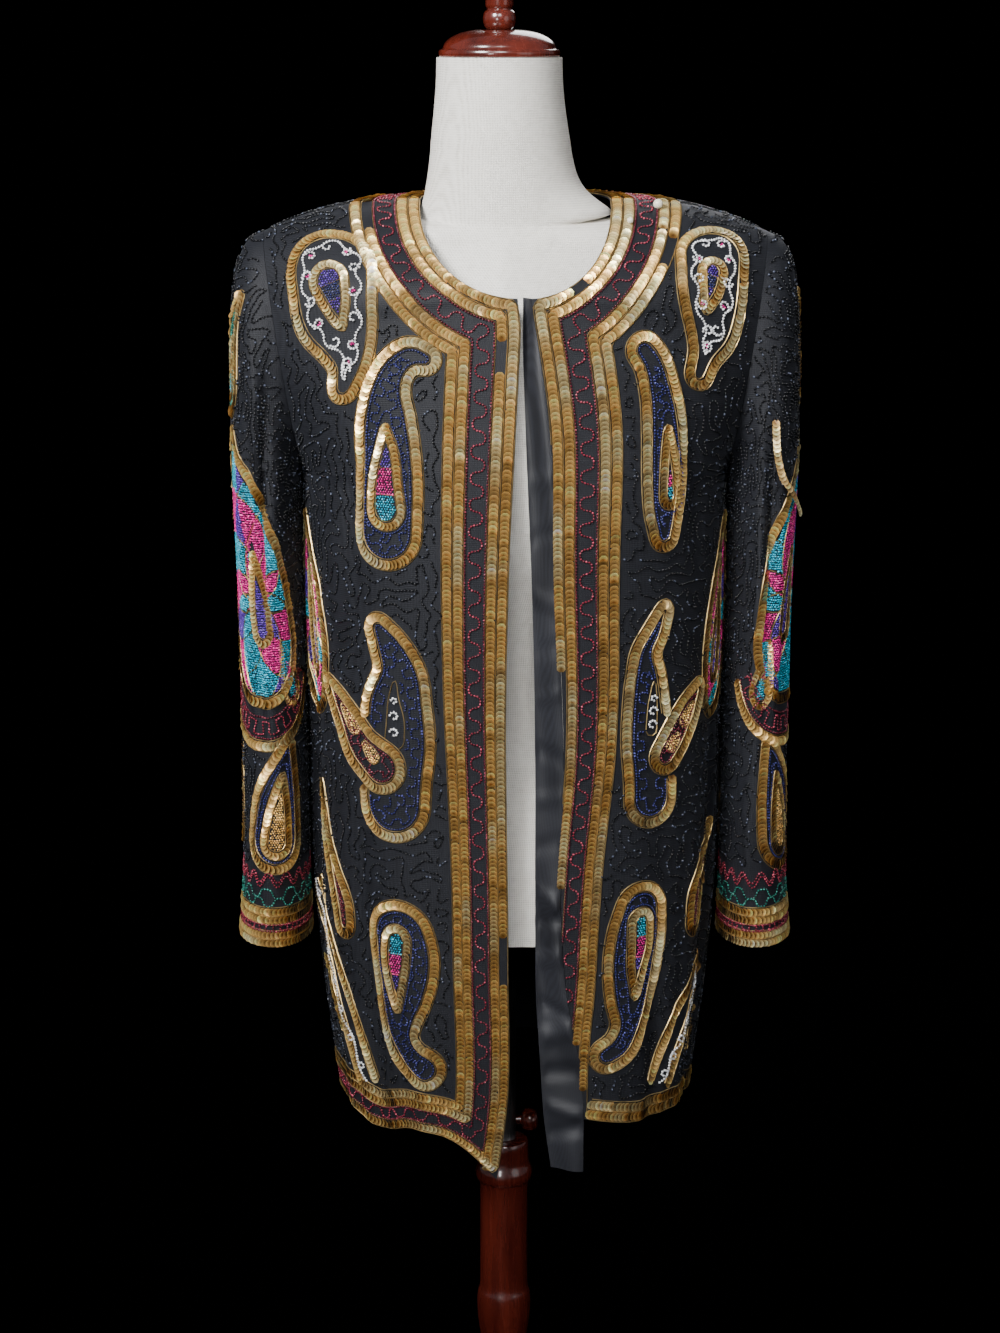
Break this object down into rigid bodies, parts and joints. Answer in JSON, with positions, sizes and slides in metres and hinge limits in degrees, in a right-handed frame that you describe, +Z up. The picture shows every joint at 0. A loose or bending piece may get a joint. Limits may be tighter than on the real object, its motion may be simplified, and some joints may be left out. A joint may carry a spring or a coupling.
{
  "type": "beaded jacket on a limbless dress form with a turned stand",
  "caption": "Hip-length collarless evening jacket of beaded black silk with open fronts and long sleeves, filled out on a limbless linen dress form on a turned wooden stand.",
  "frame": {"origin": "on the floor, at the centre of the base's underside, under the pole's axis", "axes": "+Z up, -Y the way the jacket's front faces, +X to the wearer's left"},
  "size_m": [0.4916, 0.34, 1.6011],
  "materials": {
    "beaded_silk": "black silk covered with a meander of tiny black beads",
    "gold_sequins": "overlapping cupped metallic gold sequins in rows",
    "glass_beads": "small glossy seed beads in white, navy, dark red, turquoise, magenta, purple and green",
    "satin": "creased black lining satin",
    "linen": "plain woven off-white linen",
    "mahogany": "dark red-brown turned wood with a clear gloss",
    "steel": "dull dark steel"
  },
  "bodies": {
    "root": {"front_right": "beaded_silk", "front_left": "beaded_silk", "back": "beaded_silk", "sleeve_right": "beaded_silk", "sleeve_left": "beaded_silk", "facing_left": "satin", "form_torso": "linen", "neck_cap": "mahogany", "finial": "mahogany", "rod": "steel", "clamp_knob": "mahogany", "pole": "mahogany", "base": "mahogany"}
  },
  "joints": []
}
